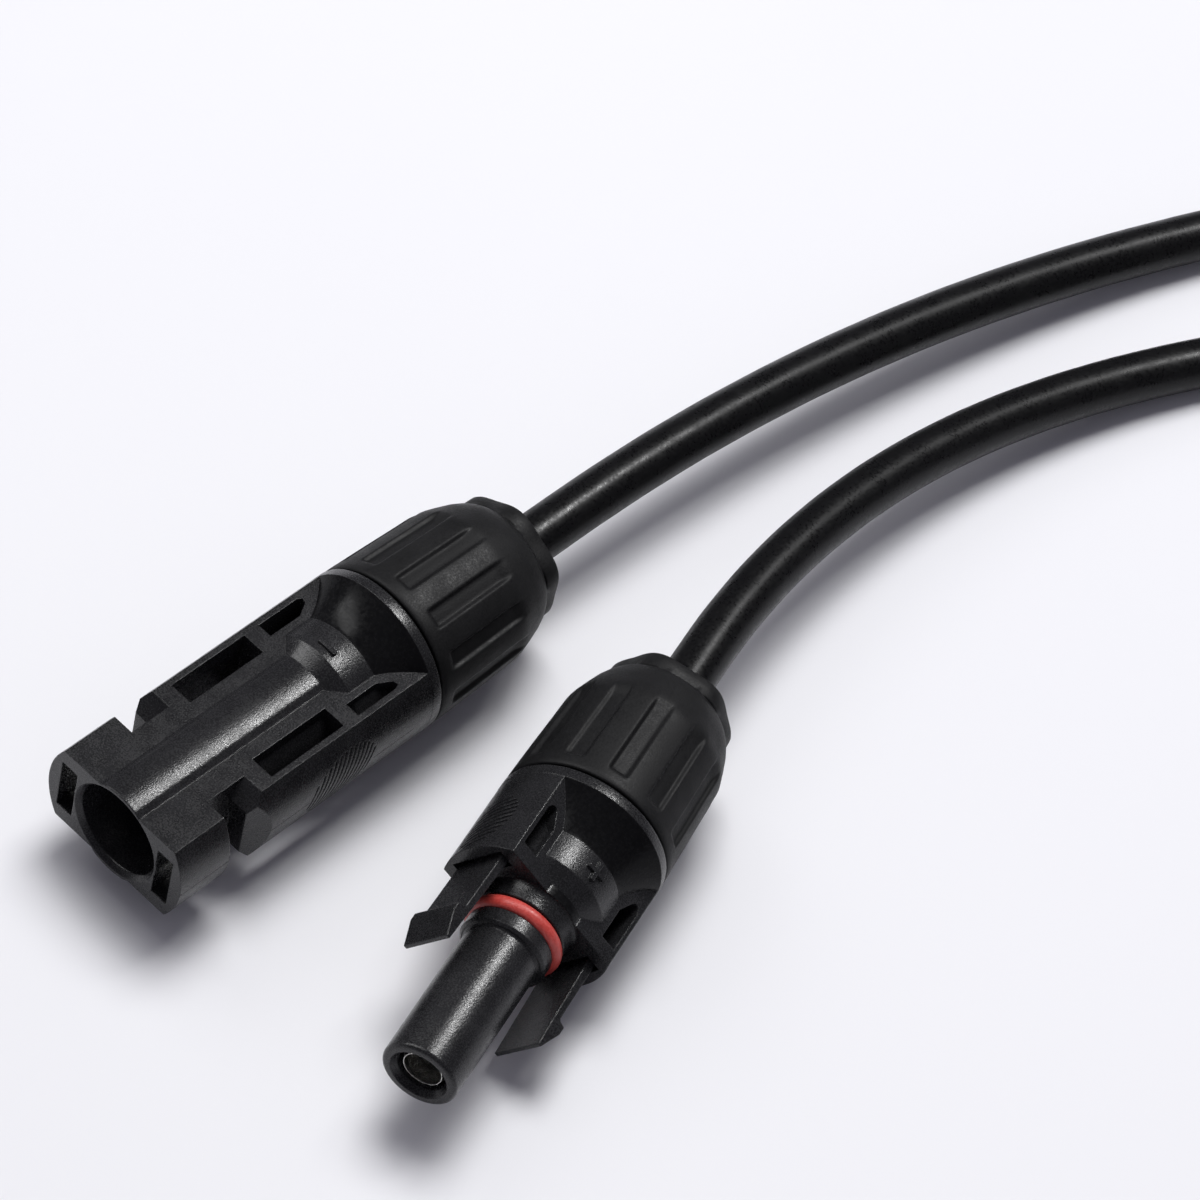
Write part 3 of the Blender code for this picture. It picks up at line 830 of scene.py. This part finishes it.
def strands(name, path, first, last):
    """Bare conductor from first to last past the path's end: a straight bundle and six twisted round it."""
    start = path[-1]
    along = (path[-1] - path[-2]).normalized()
    side = along.cross(Vector((0, 0, 1))).normalized()
    up = side.cross(along)
    count, rings, bundle = 10, 22, 0.3
    points = []
    faces = []
    lines = [(0.0, 0.0)] + [(0.6, 2 * math.pi * k / 6) for k in range(6)]
    for reach, phase in lines:
        base = len(points)
        for i in range(rings + 1):
            t = i / rings
            turn = phase + 1.1 * t
            centre = start + along * (first + (last - first) * t)
            centre = centre + side * (reach * math.cos(turn)) + up * (reach * math.sin(turn))
            for k in range(count):
                a = 2 * math.pi * k / count
                points.append(centre + side * (bundle * math.cos(a)) + up * (bundle * math.sin(a)))
        for i in range(rings):
            for k in range(count):
                m = (k + 1) % count
                low = base + i * count
                faces.append((low + k, low + m, low + count + m, low + count + k))
        faces.append(tuple(base + k for k in range(count)))
        faces.append(tuple(base + rings * count + k for k in range(count)))
    return solid(name, points, faces, Matrix.Identity(4))


def cable(prefix, place, lead, straight, knee, tail):
    """Jacket, insulation and strands of one cable, whose stripped end lies at the frame's mount."""
    mounts = frame["record"]["mounts"]
    mount = next(m for m in mounts if m["name"] == prefix + "_conductor_end")
    end = Vector(mount["pos_m"]) / MM - Vector(mount["axis"]) * BARE_LENGTH
    end.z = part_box("socket_cable_jacket")[0].z / MM + JACKET_R
    path = cable_path(place, lead, straight, knee, end - Vector(tail), end)
    body = prefix + "_lead"
    bore = INSULATION_R + LAYER_GAP
    jacket = swept(
        prefix + "_jacket_skin", path, JACKET_R, bore, 48,
        trim_start=2.0, trim_end=0.0, wobble=JACKET_WOBBLE,
    )
    dress(jacket, JACKET, body, prefix + "_cable_jacket")
    bore = CONDUCTOR_R + LAYER_GAP
    insulation = swept(
        prefix + "_insulation_skin", path, INSULATION_R, bore, 32,
        trim_start=1.0, trim_end=-2.5,
    )
    dress(insulation, INSULATION, body, prefix + "_cable_insulation")
    ends = strands(prefix + "_conductor_strands", path, 1.5, BARE_LENGTH)
    dress(ends, TINNED, body, prefix + "_cable_conductor")


# ---------------------------------------------------------------- stage

def stage():
    """Plain pale table."""
    mesh = bpy.data.meshes.new("table_top")
    corners = rectangle(-TABLE_HALF, TABLE_HALF, -TABLE_HALF, TABLE_HALF)
    mesh.from_pydata([(x, y, 0) for x, y in corners], [], [(0, 1, 2, 3)])
    floor = bpy.data.objects.new("table_top", mesh)
    bpy.context.scene.collection.objects.link(floor)
    mat, tree, shader = new_material("table")
    tone = ramp(tree, noise(tree, 3.0, 3.0), 0.3, 0.7, 0.0, 1.0)
    tree.links.new(mix_colour(tree, tone, *TABLE_COLOURS), shader.inputs["Base Color"])
    shader.inputs["Roughness"].default_value = 0.6
    mesh.materials.append(mat)


def area_light(name, at, size, power, glossy=True, diffuse=True):
    """Rectangular lamp aimed at the middle of the table, with or without highlights or soft light."""
    data = bpy.data.lights.new(name, "AREA")
    data.shape = "RECTANGLE"
    data.size, data.size_y = size
    data.energy = power
    lamp = bpy.data.objects.new(name, data)
    bpy.context.scene.collection.objects.link(lamp)
    lamp.location = at
    lamp.rotation_euler = (-Vector(at)).to_track_quat("-Z", "Y").to_euler()
    lamp.visible_glossy = glossy
    lamp.visible_diffuse = diffuse


def lights():
    """Even room light, two soft lamps, and two lamps that only make the highlights on bevel and ridge."""
    scene = bpy.context.scene
    scene.view_settings.view_transform = "Standard"
    world = bpy.data.worlds.new("studio")
    world.use_nodes = True
    tree = world.node_tree
    background = tree.nodes["Background"]
    background.inputs["Color"].default_value = ROOM_COLOUR
    glossy = node(tree, "ShaderNodeLightPath").outputs["Is Glossy Ray"]
    strength = ramp(tree, glossy, 0.0, 1.0, ROOM_LIGHT, ROOM_IN_HIGHLIGHTS)
    tree.links.new(strength, background.inputs["Strength"])
    scene.world = world
    area_light("softbox", (-0.17, 0.16, 0.82), (0.42, 0.42), 6.9, glossy=False)
    area_light("key_left", (-0.56, 0.02, 0.56), (0.36, 0.36), 0.6, glossy=False)
    area_light("bevel_shine", (-0.57, -0.24, 0.70), (0.30, 0.75), 5.5, diffuse=False)
    area_light("ridge_strip", (0.07, 0.54, 1.02), (0.11, 0.26), 12.0, diffuse=False)


def camera():
    """Seat and lens that give the photograph's angle and framing."""
    lens = bpy.data.cameras.new("camera")
    lens.lens = CAMERA_LENS
    lens.sensor_width = 36.0
    lens.clip_start = 0.01
    seat = bpy.data.objects.new("camera", lens)
    bpy.context.scene.collection.objects.link(seat)
    turn = Matrix.Rotation(math.radians(CAMERA_PAN), 4, "Z")
    turn = turn @ Matrix.Rotation(math.radians(CAMERA_TILT), 4, "X")
    turn = turn @ Matrix.Rotation(math.radians(CAMERA_ROLL), 4, "Z")
    seat.matrix_world = Matrix.Translation(Vector(CAMERA_AT)) @ turn
    bpy.context.scene.camera = seat


socket_housing()
plug_housing()
for arm_side in (1, -1):
    latch_arm(arm_side)
cap_nut("socket_cap_nut", SOCKET_SEAM, SOCKET)
cap_nut("plug_cap_nut", PLUG_SEAM, PLUG)
nose_o_ring()
contacts()
cable("socket", SOCKET, *SOCKET_LIE)
cable("plug", PLUG, *PLUG_LIE)

# The inner pieces keep their CAD shapes and only take a look.
KEPT = {
    "socket_seal": GLAND,
    "plug_seal": GLAND,
    "socket_clamp_cage": CAGE,
    "plug_clamp_cage": CAGE,
    "socket_contact_clip": SPRING,
    "plug_contact_clip": SPRING,
    "louver_band": SPRING,
}
for kept, look in KEPT.items():
    for entry in frame["nodes"][kept].material_slots:
        entry.material = look

stage()
lights()
camera()
